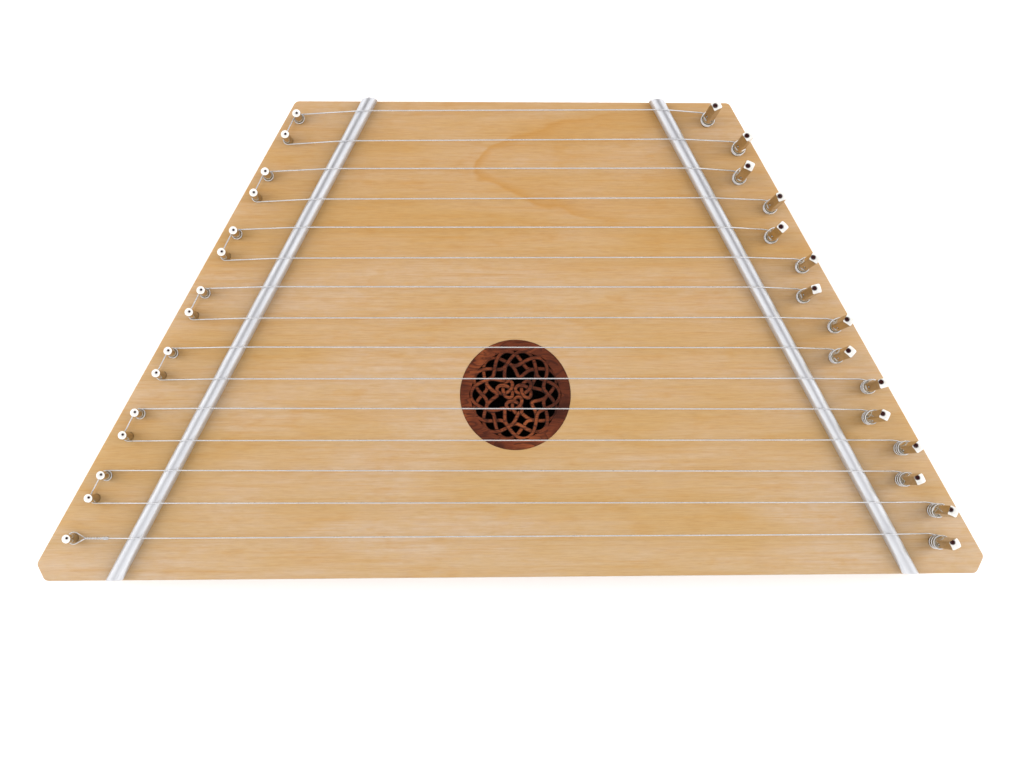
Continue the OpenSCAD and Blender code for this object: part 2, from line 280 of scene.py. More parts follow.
def growth_arch(f, place):
    """A growth ring cut lengthwise: a wavy arch open along the grain, sharp outside, fading inwards."""
    waver = f.noise(f.place((0.025, 0.012, 0.012)), 3, 0.5)
    apart = f.put("ShaderNodeSeparateXYZ", {"Vector": f.place((1, 1, 1), 0, place)})
    along, across = apart.outputs["X"], apart.outputs["Y"]
    bend, lean = 100.0, 0.5
    arch = f.math("MULTIPLY", across, f.math("MULTIPLY_ADD", across, bend, lean))
    slope = f.math("MULTIPLY_ADD", across, 2 * bend, lean)
    stretch = f.math("SQRT", f.math("MULTIPLY_ADD", slope, slope, 1.0))
    inside = f.math("DIVIDE", f.math("SUBTRACT", along, arch), stretch)
    wavy = f.math("MULTIPLY_ADD", f.math("SUBTRACT", waver, 0.5), 0.012, inside)
    edge = f.level(wavy, 0, 1, (0.0, 0.0012))
    core = f.level(wavy, 1, 0.3, (0.0012, 0.005))
    inner = f.level(wavy, 1, 0, (0.004, 0.02))
    fade = f.level(along, 1, 0, (0.035, 0.085))
    return f.math("MULTIPLY", f.math("MULTIPLY", edge, core), f.math("MULTIPLY", inner, fade))


def rosewood(name, darken=1.0):
    """Dark reddish wood with wavy black-brown grain."""
    f = Finish(name, Specular_IOR_Level=0.15)
    wave = f.noise(f.place((0.02, 0.006, 0.006)), 2, 0.5, 0.6)
    rings = f.math("FRACT", f.math("MULTIPLY", wave, 9.0))
    fibre = f.noise(f.place((0.004, 0.0004, 0.0006)), 4, 0.6)
    slow = f.noise(f.place((0.02, 0.02, 0.02)), 2)
    dark, mid, light = tone(44, 16, 7), tone(92, 42, 21), tone(132, 69, 36)
    base = f.ramp(slow, (0.3, dark), (0.5, mid), (0.72, light))
    ringed = f.mix(f.level(rings, 0, 0.75, (0.5, 0.95)), base, dark)
    grained = f.mix(f.level(fibre, 0, 0.6, (0.4, 0.7)), ringed, dark)
    # a darken below 1 makes a copy in painted shade, used on the rosette straps' sides
    shade = f.mix(1.0, grained, (darken, darken, darken, 1), "MULTIPLY")
    return f.finish(shade, f.level(fibre, 0.4, 0.6), fibre, 0.05 * MM)


def inner_painted_shade(name):
    """Near-black painted shade on bare wood, standing in for the unlit inside of the box."""
    f = Finish(name, Specular_IOR_Level=0.1)
    fibre = f.noise(f.place((0.01, 0.0006, 0.0006)), 4, 0.6)
    colour = f.mix(f.level(fibre, 0, 1), (0.004, 0.003, 0.002, 1), (0.012, 0.008, 0.005, 1))
    return f.finish(colour, f.level(fibre, 0.8, 0.95), fibre, 0.03 * MM)


def nickel(name):
    """Bright plating over turned steel, with fine turning marks and handling haze; its sides carry a painted
    warm-brown reflection of the wood, its tops the plain plating tone.
    """
    f = Finish(name, Metallic=1.0)
    haze = f.noise(f.place((0.003, 0.003, 0.003)), 3)
    turning = f.noise(f.place((0.02, 0.02, 0.00012)), 2)
    speck = f.noise(f.place((0.0004, 0.0004, 0.0004)), 2)
    facing = f.put("ShaderNodeNewGeometry", {}).outputs["Normal"]
    up = f.put("ShaderNodeSeparateXYZ", {"Vector": facing}).outputs["Z"]
    bright = f.mix(f.level(haze, 0, 1), tone(226, 224, 219), tone(210, 207, 201))
    # painted reflection: faces that don't face up get a warm brown tone standing in for the wood they
    # reflect
    painted_wood_reflection = f.mix(f.level(haze, 0, 1), tone(203, 190, 164), tone(187, 174, 149))
    colour = f.mix(f.level(up, 0, 1, (0.1, 0.6)), painted_wood_reflection, bright)
    rough = f.math("ADD", f.level(haze, 0.07, 0.16), f.level(speck, 0, 0.06, (0.55, 0.8)))
    return f.finish(colour, rough, turning, 0.003 * MM)


def aluminium(name, lean):
    """Drawn rod: lengthwise draw lines, soft haze and a few short scratches."""
    f = Finish(name, Metallic=0.78)
    draw = f.noise(f.place((0.00025, 0.05, 0.00025), lean), 3, 0.6)
    haze = f.noise(f.place((0.004, 0.012, 0.004), lean), 3)
    scratch = f.noise(f.place((0.00018, 0.004, 0.00018), lean), 2, 0.5, 0.4)
    nick = f.level(scratch, 0, 1, (0.68, 0.76))
    colour = f.mix(f.level(haze, 0, 1), tone(197, 198, 201), tone(187, 188, 192))
    marked = f.mix(f.math("MULTIPLY", nick, 0.5), colour, tone(130, 130, 136))
    rough = f.math("ADD", f.level(haze, 0.33, 0.42), f.math("MULTIPLY", nick, 0.2))
    height = f.math("SUBTRACT", draw, f.math("MULTIPLY", nick, 2.0))
    return f.finish(marked, rough, height, 0.006 * MM)


def music_wire(name):
    """Plain bright steel wire with faint draw marks and dull spots."""
    f = Finish(name, Metallic=1.0)
    dull = f.noise(f.place((0.006, 0.0015, 0.0015)), 3)
    fine = f.noise(f.place((0.0008, 0.0001, 0.0001)), 2)
    colour = f.mix(f.level(dull, 0, 1), tone(210, 210, 212), tone(192, 193, 197))
    return f.finish(colour, f.level(dull, 0.2, 0.36), fine, 0.004 * MM)


# ---------- mesh helpers ----------


def add_piece(name, mesh, materials, body, slot, *nodes, sharp=35):
    """Shows a finished mesh: its materials, the body it rides on and its CAD nodes. The slot argument is not
    used.
    """
    piece = bpy.data.objects.new(name, mesh)
    bpy.context.collection.objects.link(piece)
    for material in materials:
        mesh.materials.append(material)
    mesh.shade_smooth()
    mesh.set_sharp_from_angle(angle=math.radians(sharp))
    if body:
        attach(piece, body)
    if nodes:
        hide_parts(*nodes)
    return piece


def to_mesh(name, bm):
    bmesh.ops.recalc_face_normals(bm, faces=bm.faces)
    mesh = bpy.data.meshes.new(name)
    bm.to_mesh(mesh)
    bm.free()
    return mesh


def skin(bm, rings, closed=False):
    """Faces between rings of points that follow each other; all rings have the same number of points."""
    verts = [[bm.verts.new(p) for p in ring] for ring in rings]
    count = len(verts[0])
    pairs = list(zip(verts, verts[1:])) + ([(verts[-1], verts[0])] if closed else [])
    for a, b in pairs:
        for i in range(count):
            j = (i + 1) % count
            bm.faces.new((a[i], a[j], b[j], b[i]))
    if not closed:
        bm.faces.new(list(reversed(verts[0])))
        bm.faces.new(verts[-1])


def sweep(bm, points, radius, sides=10):
    """A round wire along a line of points, with rounded ends."""
    points = [p for i, p in enumerate(points) if i == 0 or (p - points[i - 1]).length > MM / 1000]
    last = len(points) - 1
    ahead = [(points[min(i + 1, last)] - points[max(i - 1, 0)]).normalized() for i in range(len(points))]
    side = ahead[0].orthogonal().normalized()
    rings = []
    for i, (point, along) in enumerate(zip(points, ahead)):
        side = (side - along * side.dot(along)).normalized()
        up = along.cross(side)
        ring = [side * math.cos(TURN * s / sides) + up * math.sin(TURN * s / sides) for s in range(sides)]
        if i == 0:
            rings.append([point - along * radius * 0.8 + r * radius * 0.5 for r in ring])
            rings.append([point - along * radius * 0.4 + r * radius * 0.85 for r in ring])
        rings.append([point + r * radius for r in ring])
        if i == last:
            rings.append([point + along * radius * 0.4 + r * radius * 0.85 for r in ring])
            rings.append([point + along * radius * 0.8 + r * radius * 0.5 for r in ring])
    skin(bm, rings)


def around(place, radius, angle, z):
    """A point at a distance and an angle from an upright axis."""
    return Vector((place.x + radius * math.cos(angle), place.y + radius * math.sin(angle), z))


def lathe(bm, profile, place, sides=48):
    """A turned form about an upright axis."""
    angles = [TURN * s / sides for s in range(sides)]
    skin(bm, [[around(place, r, a, z) for a in angles] for r, z in profile])


def cut(name, body_mesh, cutters):
    """The mesh with the cutters taken out of it."""
    piece = bpy.data.objects.new(name, body_mesh)
    tool = bpy.data.objects.new(name + "_tool", cutters)
    for item in (piece, tool):
        bpy.context.collection.objects.link(item)
    modifier = piece.modifiers.new("cut", "BOOLEAN")
    modifier.operation = "DIFFERENCE"
    modifier.solver = "EXACT"
    modifier.object = tool
    graph = bpy.context.evaluated_depsgraph_get()
    result = bpy.data.meshes.new_from_object(piece.evaluated_get(graph))
    for item in (piece, tool):
        bpy.data.objects.remove(item)
    result.name = name
    return result


def dome(top, dome_r, radius, steps=7):
    """Profile of a domed end: from the rim to a small flat on the axis."""
    rim = radius * 0.97
    angles = [math.asin(rim / dome_r) * (1 - i / steps) for i in range(steps)] + [0.02]
    return [(dome_r * math.sin(a), top - dome_r + dome_r * math.cos(a)) for a in angles]


# ---------- soundbox ----------


def outline():
    """The box's plan, anticlockwise, from the back panel's upper face."""
    mesh = frame["nodes"]["back_panel"].data
    rim = {(round(v.co.x, 6), round(v.co.y, 6)) for v in mesh.vertices if v.co.z > BACK_T - 0.1 * MM}
    return [Vector(p) for p in sorted(rim, key=lambda p: math.atan2(p[1], p[0]))]


def inset(points, depth):
    moved = []
    for i, point in enumerate(points):
        before, after = points[i - 1], points[(i + 1) % len(points)]
        a = (point - before).normalized()
        b = (after - point).normalized()
        inward = Vector((-a.y - b.y, a.x + b.x)).normalized()
        half = max(0.5, inward.dot(Vector((-a.y, a.x))))
        moved.append(point + inward * depth / half)
    return moved


def plate(name, points, low, high, ease_low, ease_high, steps=3):
    """A flat plate with its long edges eased by a small radius."""
    levels = []
    for i in range(steps + 1):
        a = math.pi / 2 * i / steps
        levels.append((ease_low * (1 - math.sin(a)), low + ease_low * (1 - math.cos(a))))
    for i in range(steps + 1):
        a = math.pi / 2 * i / steps
        levels.append((ease_high * (1 - math.cos(a)), high - ease_high * (1 - math.sin(a))))
    bm = bmesh.new()
    skin(bm, [[Vector((p.x, p.y, z)) for p in inset(points, depth)] for depth, z in levels])
    return to_mesh(name, bm)


def rod_rings(side, radius, end, ease=0.0, sides=64):
    """Rings along a rod, cut square to Y at both ends, with the sharp edge taken off."""
    along = Vector((-side * ROW_SLOPE, 1, 0)).normalized()
    across = Vector((along.y, -along.x, 0))
    middle = Vector((side * ROD_X, 0, ROD_Z))
    rings = []
    for y, r in ((-end, radius - ease), (-end + ease, radius), (end - ease, radius), (end, radius - ease)):
        ring = []
        for s in range(sides):
            a = TURN * s / sides
            rim = middle + across * r * math.cos(a) + Vector((0, 0, r * math.sin(a)))
            ring.append(rim + along * (y - rim.y) / along.y)
        rings.append(ring)
    return rings


def board_cutters():
    bm = bmesh.new()
    clear = 2 * MM
    for places, r in ((TUNERS, TUNER_R + BORE_GAP), (HITCHES, HITCH_R + BORE_GAP)):
        for place in places:
            lathe(bm, [(r, BOARD_Z - TOP_T - clear), (r, BOARD_Z + clear)], place, 32)
    seat_r = ROSETTE_R + SEAT_GAP
    profile = [(HOLE_R, BOARD_Z - TOP_T - clear), (HOLE_R, SEAT_Z)]
    profile += [(seat_r, SEAT_Z), (seat_r, BOARD_Z + clear)]
    lathe(bm, profile, ROSETTE, 96)
    for side in (-1, 1):
        skin(bm, rod_rings(side, ROD_R + ROD_GAP, BACK_Y + 5 * MM))
    return to_mesh("board_cutters", bm)


def make_soundboard(wood):
    blank = plate("soundboard_blank", outline(), BOARD_Z - TOP_T, BOARD_Z, 0.15 * MM, 0.5 * MM)
    mesh = cut("soundboard_plate", blank, board_cutters())
    add_piece("soundboard_plate", mesh, [wood], "soundbox", "soundboard_wood", "soundboard")


def make_back(wood, inner_shade):
    """The back panel, its inner face in near-black painted shade: nothing shows through the rosette."""
    mesh = plate("back_plate", outline(), 0, BACK_T, 0.6 * MM, 0.15 * MM)
    piece = add_piece("back_plate", mesh, [wood, inner_shade], "soundbox", "back_wood", "back_panel")
    # painted shade: the upward inner face takes the near-black material
    for face in piece.data.polygons:
        if face.normal.z > 0.9:
            face.material_index = 1


def make_rods():
    for side, label in ((-1, "left"), (1, "right")):
        metal = aluminium(f"drawn_aluminium_{label}", side * ROD_LEAN)
        bm = bmesh.new()
        skin(bm, rod_rings(side, ROD_R, ROD_END, 0.3 * MM))
        mesh = to_mesh(f"rod_{label}", bm)
        add_piece(f"rod_{label}", mesh, [metal], "soundbox", "rod_aluminium", f"bridge_rod_{label}")


# ---------- rosette ----------

STRAP_W = 1.65 * MM
STRAP_T = 1.15 * MM
STRAP_LIFT = 0.34 * MM
STRAP_EASE = 0.26 * MM
RIM_INNER = 18.75 * MM
KNOTS = 3


def ring_knot(leads, bights, radius, swing, steps=120):
    """A closed plait round the centre: it goes round leads times and touches its outer edge bights times."""
    points = []
    for i in range(steps * leads):
        t = TURN * i / steps
        r = radius + swing * math.cos(bights * t / leads)
        points.append(Vector((r * math.cos(t), r * math.sin(t))))
    return points


def small_knot(place, size, turn, steps=110):
    """A three-cornered knot of one strap."""
    points = []
    for i in range(steps):
        t = TURN * i / steps
        point = Vector((math.sin(t) + 2 * math.sin(2 * t), math.cos(t) - 2 * math.cos(2 * t)))
        point.rotate(Matrix.Rotation(turn, 2))
        points.append(place + point * size)
    return points


def crossings(loops):
    """Where the loops cross, as (loop, position) pairs."""
    found = []
    pieces = []
    for a, loop in enumerate(loops):
        pieces += [(a, i, point, loop[(i + 1) % len(loop)]) for i, point in enumerate(loop)]
    for m, (a, i, p, q) in enumerate(pieces):
        for b, j, r, s in pieces[m + 1:]:
            if a == b and abs(i - j) in (0, 1, len(loops[a]) - 1):
                continue
            if (p - r).length_squared > (1.5 * MM) ** 2:
                continue
            u, v, w = q - p, s - r, r - p
            area = u.x * v.y - u.y * v.x
            if abs(area) < 1e-14:
                continue
            t = (w.x * v.y - w.y * v.x) / area
            k = (w.x * u.y - w.y * u.x) / area
            if 0 <= t < 1 and 0 <= k < 1:
                found.append(((a, i + t), (b, j + k)))
    return found


def weave(loops):
    """For each loop, its crossings in order with 1 for over and -1 for under, changing at every step."""
    along = [[] for _ in loops]
    for n, pair in enumerate(crossings(loops)):
        for e, (a, at) in enumerate(pair):
            along[a].append((at, n, e))
    along = [sorted(spots) for spots in along]
    over, waiting = {}, set(range(len(loops)))
    while waiting:
        known = [a for a in waiting if any(n in over for _, n, _ in along[a])]
        a = known[0] if known else min(waiting)
        waiting.remove(a)
        start = 1
        for step, (_, n, e) in enumerate(along[a]):
            if n in over:
                start = over[n] * (1 if e == 0 else -1) * (-1) ** step
                break
        for step, (_, n, e) in enumerate(along[a]):
            over.setdefault(n, start * (-1) ** step * (1 if e == 0 else -1))
    return [[(at, over[n] * (1 if e == 0 else -1)) for at, n, e in spots] for spots in along]


def strap_heights(loop, spots):
    """Height of the strap's middle at each point: up at an over, down at an under, eased between."""
    heights, count = [], len(loop)
    if not spots:
        return [0.0] * count
    ring = [(spots[-1][0] - count, spots[-1][1])] + spots + [(spots[0][0] + count, spots[0][1])]
    for i in range(count):
        for (a, up_a), (b, up_b) in zip(ring, ring[1:]):
            if a <= i < b:
                t = (1 - math.cos(math.pi * (i - a) / (b - a))) / 2
                heights.append(up_a * (1 - t) + up_b * t)
                break
    return heights


def make_rosette(wood, strap_side_shade):
    """A carved rim and woven straps: a plait round the outside, a three-lobed loop and three small knots."""
    loops = [ring_knot(3, 14, 15.6 * MM, 3.3 * MM), ring_knot(1, 7, 10.5 * MM, 2.9 * MM)]
    for i in range(KNOTS):
        a = TURN * (i + 0.25) / KNOTS
        loops.append(small_knot(Vector((math.cos(a), math.sin(a))) * 4.5 * MM, 1.3 * MM, a))
    half, ease = STRAP_W / 2, STRAP_EASE
    section = [(-half, -STRAP_T), (half, -STRAP_T)]
    section += [(half, -ease), (half - ease, 0), (ease - half, 0), (-half, -ease)]
    bm = bmesh.new()
    crown = ROSETTE_TOP - STRAP_LIFT
    for loop, spots in zip(loops, weave(loops)):
        rings = []
        heights = strap_heights(loop, spots)
        for i, point in enumerate(loop):
            ahead = (loop[(i + 1) % len(loop)] - loop[i - 1]).normalized()
            out = Vector((-ahead.y, ahead.x))
            middle = ROSETTE.xy + point
            top = crown + heights[i] * STRAP_LIFT
            rings.append([lifted(middle + out * o, top + h) for o, h in section])
        skin(bm, rings, closed=True)
    # painted shade: strap faces that don't face up take the darkened wood, standing in for the dark gaps
    # where straps cross
    for face in bm.faces:
        face.normal_update()
        if face.normal.z < 0.85:
            face.material_index = 1
    foot, outer, inner = 0.1 * MM, 0.25 * MM, 0.3 * MM
    rim = [(RIM_INNER, SEAT_Z), (ROSETTE_R - foot, SEAT_Z), (ROSETTE_R, SEAT_Z + foot)]
    rim += [(ROSETTE_R, ROSETTE_TOP - outer), (ROSETTE_R - outer, ROSETTE_TOP)]
    rim += [(RIM_INNER + inner, ROSETTE_TOP), (RIM_INNER, ROSETTE_TOP - inner)]
    sides = 160
    skin(bm, [[around(ROSETTE, r, TURN * s / sides, z) for r, z in rim] for s in range(sides)], closed=True)
    mesh = to_mesh("rosette_carving", bm)
    add_piece("rosette_carving", mesh, [wood, strap_side_shade], "soundbox", "rosette_wood", "rosette")


# ---------- pins ----------


def make_hitch_pins(metal):
    rim_z = dome(HITCH_TOP, HITCH_DOME_R, HITCH_R)[0][1]
    profile = [(HITCH_R * 0.6, HITCH_FOOT), (HITCH_R, HITCH_FOOT + MM)]
    profile += [(HITCH_R, rim_z - 2 * PIN_EDGE), (HITCH_R, rim_z - PIN_EDGE)]
    profile += dome(HITCH_TOP, HITCH_DOME_R, HITCH_R)
    for k, place in enumerate(HITCHES, 1):
        bm = bmesh.new()
        lathe(bm, profile, place, 40)
        mesh = to_mesh(f"hitch_pin_{two(k)}", bm)
        add_piece(f"hitch_pin_{two(k)}", mesh, [metal], "soundbox", "pin_nickel", "hitch_pins")


def eased(t):
    """0 before 0 and 1 after 1, with a smooth rise between."""
    t = min(1.0, max(0.0, t))
    return t * t * (3 - 2 * t)


def corner_reach(angle, z):
    """Distance from a tuning pin's axis to its side: round low down, a square with round corners above."""
    flat = TUNER_R + (FLAT - TUNER_R) * eased((z - FLAT_START) / FLAT_RUN_OUT + 0.5)
    return min(TUNER_R, flat / max(abs(math.cos(angle)), abs(math.sin(angle))))


def hole_angle(k):
    """Which way a tuning pin's cross hole opens: away from where the CAD coil's wire goes in."""
    mesh = frame["nodes"][f"string_coil_{two(k)}"].data
    points = [v.co.xy - TUNERS[k - 1] for v in mesh.vertices if v.co.z > HOLE_Z]
    inlet = [p for p in points if p.length > COIL_R]
    middle = sum(inlet, Vector((0, 0)))
    return math.atan2(-middle.y, -middle.x)


def tuning_pin_mesh():
    """One tuning pin on the Z axis, its cross hole along X."""
    count, steps = 96, 6
    sides = [TURN * s / count for s in range(count)]
    turned = [FLAT_START + (i / steps - 0.5) * FLAT_RUN_OUT for i in range(steps + 1)]
    levels = [(0.5, TUNER_FOOT), (0.96, TUNER_FOOT + 1.5 * MM), (0.97, BOARD_Z - MM)]
    levels += [(1, z) for z in [BOARD_Z + 0.4 * MM] + turned + [HOLE_Z + 2 * MM]]
    rings = [[(a, corner_reach(a, z) * share, z) for a in sides] for share, z in levels]

    def cap_z(reach):
        return TUNER_TOP - TUNER_DOME_R + math.sqrt(TUNER_DOME_R ** 2 - reach * reach)

    rim = [corner_reach(a, TUNER_TOP) for a in sides]
    for drop in (2 * PIN_EDGE, PIN_EDGE):
        rings.append([(a, r, cap_z(r) - drop) for a, r in zip(sides, rim)])
    for share in (0.965, 0.86, 0.7, 0.52, 0.34, 0.16, 0.02):
        rings.append([(a, r * share, cap_z(r * share)) for a, r in zip(sides, rim)])
    bm = bmesh.new()
    skin(bm, [[Vector((r * math.cos(a), r * math.sin(a), z)) for a, r, z in ring] for ring in rings])
    blank = to_mesh("tuning_pin_blank", bm)
    bm = bmesh.new()
    span = 2 * TUNER_R
    turns = [TURN * s / 24 for s in range(24)]
    ring = [Vector((0, CROSS_HOLE_R * math.cos(a), HOLE_Z + CROSS_HOLE_R * math.sin(a))) for a in turns]
    skin(bm, [[p + Vector((x, 0, 0)) for p in ring] for x in (-span, span)])
    return cut("tuning_pin", blank, to_mesh("cross_hole", bm))


def make_tuning_pins(metal):
    master = tuning_pin_mesh()
    for k, place in enumerate(TUNERS, 1):
        mesh = master.copy()
        mesh.transform(Matrix.Translation((place.x, place.y, 0)) @ Matrix.Rotation(hole_angle(k), 4, "Z"))
        name = f"zither_pin_{two(k)}"
        add_piece(name, mesh, [metal], tuner_body(k), "pin_nickel", f"tuning_pin_{two(k)}", sharp=30)


# ---------- strings ----------


def arc(place, radius, start, end, z_start, z_end, step=math.radians(10)):
    """Points round a pin from one angle to another, rising evenly."""
    count = max(2, math.ceil(abs(end - start) / step))
    points = []
    for i in range(count + 1):
        t = i / count
        points.append(around(place, radius, start + (end - start) * t, z_start + (z_end - z_start) * t))
    return points


def curve(a, b, leave, arrive, steps=8):
    """A smooth bend from a to b with given directions at its ends."""
    reach = (b - a).length
    points = []
    for i in range(steps + 1):
        t = i / steps
        t2, t3 = t * t, t * t * t
        points.append(a * (2 * t3 - 3 * t2 + 1) + leave * reach * (t3 - 2 * t2 + t)
                      + b * (3 * t2 - 2 * t3) + arrive * reach * (t3 - t2))
    return points


def hitch_side(k):
    """Side of its hitch pin that a string leaves from: 1 far, -1 near, 0 from a loop's middle."""
    return 0 if k == STRINGS else (1 if k % 2 else -1)


def heading(k):
    across = TUNERS[k - 1] - HITCHES[k - 1]
    offset = COIL_R + STRING_SET - hitch_side(k) * LOOP_R
    return math.atan2(across.y, across.x) + math.asin(offset / across.length)


def lifted(flat, z):
    return Vector((flat.x, flat.y, z))


class Line:
    """The upright plane that a string lies in, from its hitch pin towards its tuning pin."""

    def __init__(self, k):
        a = heading(k)
        self.ahead = Vector((math.cos(a), math.sin(a)))
        self.left = Vector((-math.sin(a), math.cos(a)))
        self.start = HITCHES[k - 1] + self.left * hitch_side(k) * LOOP_R
        self.hook = TUNERS[k - 1] + self.left * (COIL_R + STRING_SET) - self.ahead * HOOK_LEN
        self.length = (self.hook - self.start).dot(self.ahead)

    def at(self, distance, z):
        return lifted(self.start + self.ahead * distance, z)

    def over(self, side):
        """Distance to a rod's axis, and half the width of the wire's path over the rod, in this plane."""
        x = ROD_X - ROW_SLOPE * self.start.y
        distance = (side * x - self.start.x) / (self.ahead.x + side * ROW_SLOPE * self.ahead.y)
        rod = Vector((-side * ROW_SLOPE, 1)).normalized()
        reach = ROD_R + WIRE_R
        return distance, reach / abs(self.ahead.x * rod.y - self.ahead.y * rod.x)

    def knee(self, side, far, far_z, steps=4):
        """Points over a rod from its top to where the wire leaves it for a lower point at far."""
        middle, wide = self.over(side)
        high = ROD_R + WIRE_R
        span = abs(far - middle)
        slope = (ROD_Z + high - far_z) / span
        for _ in range(6):
            root = math.sqrt((wide * slope) ** 2 + high ** 2)
            slope = (ROD_Z + high * high / root - far_z) / (span - wide * wide * slope / root)
        sign = 1 if far > middle else -1
        turns = [math.atan(wide * slope / high) * i / steps for i in range(steps + 1)]
        return [self.at(middle + sign * wide * math.sin(a), ROD_Z + high * math.cos(a)) for a in turns]


def touch_angle(k, line):
    """Angle about the tuning pin where the string meets its coil."""
    away = line.hook - TUNERS[k - 1]
    return math.atan2(away.y, away.x) - math.acos(COIL_R / away.length)


def speaking_length(k, from_distance=0.0, from_z=None):
    """A string from its hitch end, over both rods, to the place where it meets its coil."""
    line = Line(k)
    low_z = LOOP_Z if from_z is None else from_z
    left = line.knee(-1, from_distance, low_z)
    right = line.knee(1, line.length, WIND_Z + HOOK_LIFT)
    hook = line.at(line.length, WIND_Z + HOOK_LIFT)
    a = touch_angle(k, line)
    touch = around(TUNERS[k - 1], COIL_R, a, WIND_Z)
    leave = (hook - right[-1]).normalized()
    arrive = Vector((math.sin(a), -math.cos(a), 0))
    bend = curve(hook, touch, leave, arrive)
    return [line.at(from_distance, low_z)] + left[::-1] + right + bend


def make_pair(k, steel):
    """Two strings of one wire: round the upper hitch pin with an extra turn, then round the lower one."""
    upper, lower = HITCHES[k - 1], HITCHES[k]
    arrive = heading(k) + math.pi / 2
    depart = heading(k + 1) + 3 * math.pi / 2
    link = LINK_ANGLE
    high = LOOP_Z + EXTRA_TURN_RISE
    points = speaking_length(k)[::-1]
    points += arc(upper, LOOP_R, arrive, link + TURN, LOOP_Z, high)[1:]
    points += arc(lower, LOOP_R, link, depart, LOOP_Z + 0.1 * MM, LOOP_Z)
    points += speaking_length(k + 1)[1:]
    bm = bmesh.new()
    sweep(bm, points, WIRE_R)
    name = f"wire_{two(k)}_{two(k + 1)}"
    add_piece(name, to_mesh(name, bm), [steel], "soundbox", "music_wire", f"string_{name}", sharp=60)


def make_single(steel):
    """The lowest string: a loop round its pin, a twisted tail and tight closing wraps."""
    line = Line(STRINGS)
    pin = HITCHES[-1]
    top_z = ROD_Z + ROD_R + WIRE_R
    rise = (top_z - LOOP_Z) / line.over(-1)[0]

    def spot(distance, offset, lift=0.0):
        side = line.left * offset
        return line.at(distance, LOOP_Z + rise * distance + lift) + Vector((side.x, side.y, 0))

    def twisted(phase, steps=44):
        points = []
        for i in range(steps + 1):
            distance = TAIL_START + (WRAP_START - TAIL_START) * i / steps
            a = phase + TURN * (distance - TAIL_START) / TAIL_PITCH
            points.append(spot(distance, twist_r * math.cos(a), twist_r * math.sin(a)))
        return points

    twist_r, wrap_r = 1.02 * WIRE_R, 1.96 * WIRE_R
    loop_r, shift = 2.4 * MM, 0.38 * MM
    eye = pin + line.ahead * shift
    opening = math.acos(loop_r / (TAIL_START - shift))
    a = heading(STRINGS)
    loop_z = LOOP_Z + rise * loop_r
    ring = arc(eye, loop_r, a + opening, a + TURN - opening, loop_z, loop_z)
    main = speaking_length(STRINGS, TAIL_END, LOOP_Z + rise * TAIL_END)[::-1]
    main += [spot(WRAP_START + 0.6 * MM, 0)]
    main += twisted(0)[::-1] + ring + twisted(math.pi)
    wraps, pitch, per_turn = [], 2.2 * WIRE_R, 14
    turns = (TAIL_END - WRAP_START - 0.7 * MM) / pitch
    for i in range(int(turns * per_turn)):
        angle = math.pi + TURN * (WRAP_START - TAIL_START) / TAIL_PITCH + TURN * (i + 3) / per_turn
        distance = WRAP_START + 0.5 * MM + pitch * i / per_turn
        wraps.append(spot(distance, wrap_r * math.cos(angle), wrap_r * math.sin(angle)))
    bm = bmesh.new()
    sweep(bm, main + wraps, WIRE_R)
    mesh = to_mesh("wire_15", bm)
    add_piece("wire_15", mesh, [steel], "soundbox", "music_wire", "string_wire_15", sharp=60)


def coil_points(k):
    """From the string round the pin and up into the cross hole. High strings wind tight, low ones open."""
    peg = TUNERS[k - 1]
    start, opening = touch_angle(k, Line(k)), hole_angle(k)
    inlet = opening + math.pi
    last, lead = 0.4, 0.7
    turns = ((start - inlet) / TURN + last) % 1 + 2.6
    loose = min(1.0, max(0.0, (k - 8) / 4))
    pitch = (0.72 + 1.28 * loose) * MM
    count = math.ceil(turns * 36)
    points = []
    for i in range(count + 1):
        t = turns * i / count
        z = WIND_Z + pitch * max(0.0, min(t, turns - last) - lead)
        z += (HOLE_Z - z) * eased((t - turns + last) / last)
        points.append(around(peg, COIL_R, start - TURN * t, z))
    out = Vector((math.cos(opening), math.sin(opening)))
    heading_in = (points[-1] - points[-2]).normalized()
    inner = lifted(peg - out * 1.9 * MM, HOLE_Z)
    tip = lifted(peg + out * (FLAT - 0.15 * MM), HOLE_Z - 0.2 * MM)
    points += curve(points[-1], inner, heading_in, lifted(out, 0), 5)[1:]
    return points + [lifted(peg + out * FLAT * 0.5, HOLE_Z - 0.1 * MM), tip]


def make_coils(steel):
    """Each string's last turns round its tuning pin, up to the cross hole."""
    for k, peg in enumerate(TUNERS, 1):
        bm = bmesh.new()
        sweep(bm, coil_points(k), WIRE_R)
        name = f"coil_{two(k)}"
        node = f"string_coil_{two(k)}"
        coil = add_piece(name, to_mesh(name, bm), [steel], None, "music_wire", node, sharp=60)
        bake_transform(coil)


# ---------- frame woods ----------


def finish_cad_nodes(material, *nodes):
    """CAD nodes whose shapes are right keep them, with a better material."""
    for node in nodes:
        for slot in frame["nodes"][node].material_slots:
            slot.material = material


# ---------- stage ----------


def make_floor():
    bm = bmesh.new()
    reach, drop = 6.0, 0.05 * MM
    corners = [(-reach, -reach), (reach, -reach), (reach, reach), (-reach, reach)]
    bm.faces.new([bm.verts.new((x, y, -drop)) for x, y in corners])
    floor = bpy.data.objects.new("floor", to_mesh("floor", bm))
    bpy.context.collection.objects.link(floor)
    f = Finish("floor_paper", Specular_IOR_Level=0.2)
    fleck = f.noise(f.place((0.4, 0.4, 0.4)), 3)
    white = f.mix(f.level(fleck, 0, 1), tone(234, 234, 234), tone(230, 230, 231))
    floor.data.materials.append(f.finish(white, f.level(fleck, 0.7, 0.8)))


ROOM_LIGHT = 1.75
SOFTBOX_POWER = 6.5
SOFTBOX_AWAY = 0.72
SOFTBOX_HIGH = 0.34
SOFTBOX_SIZE = (0.45, 1.2)
OPENING_WAY = Vector((0, 0.26, 0.97)).normalized()
OPENING_EDGE = math.radians(27)
OPENING_CORE = math.radians(19)


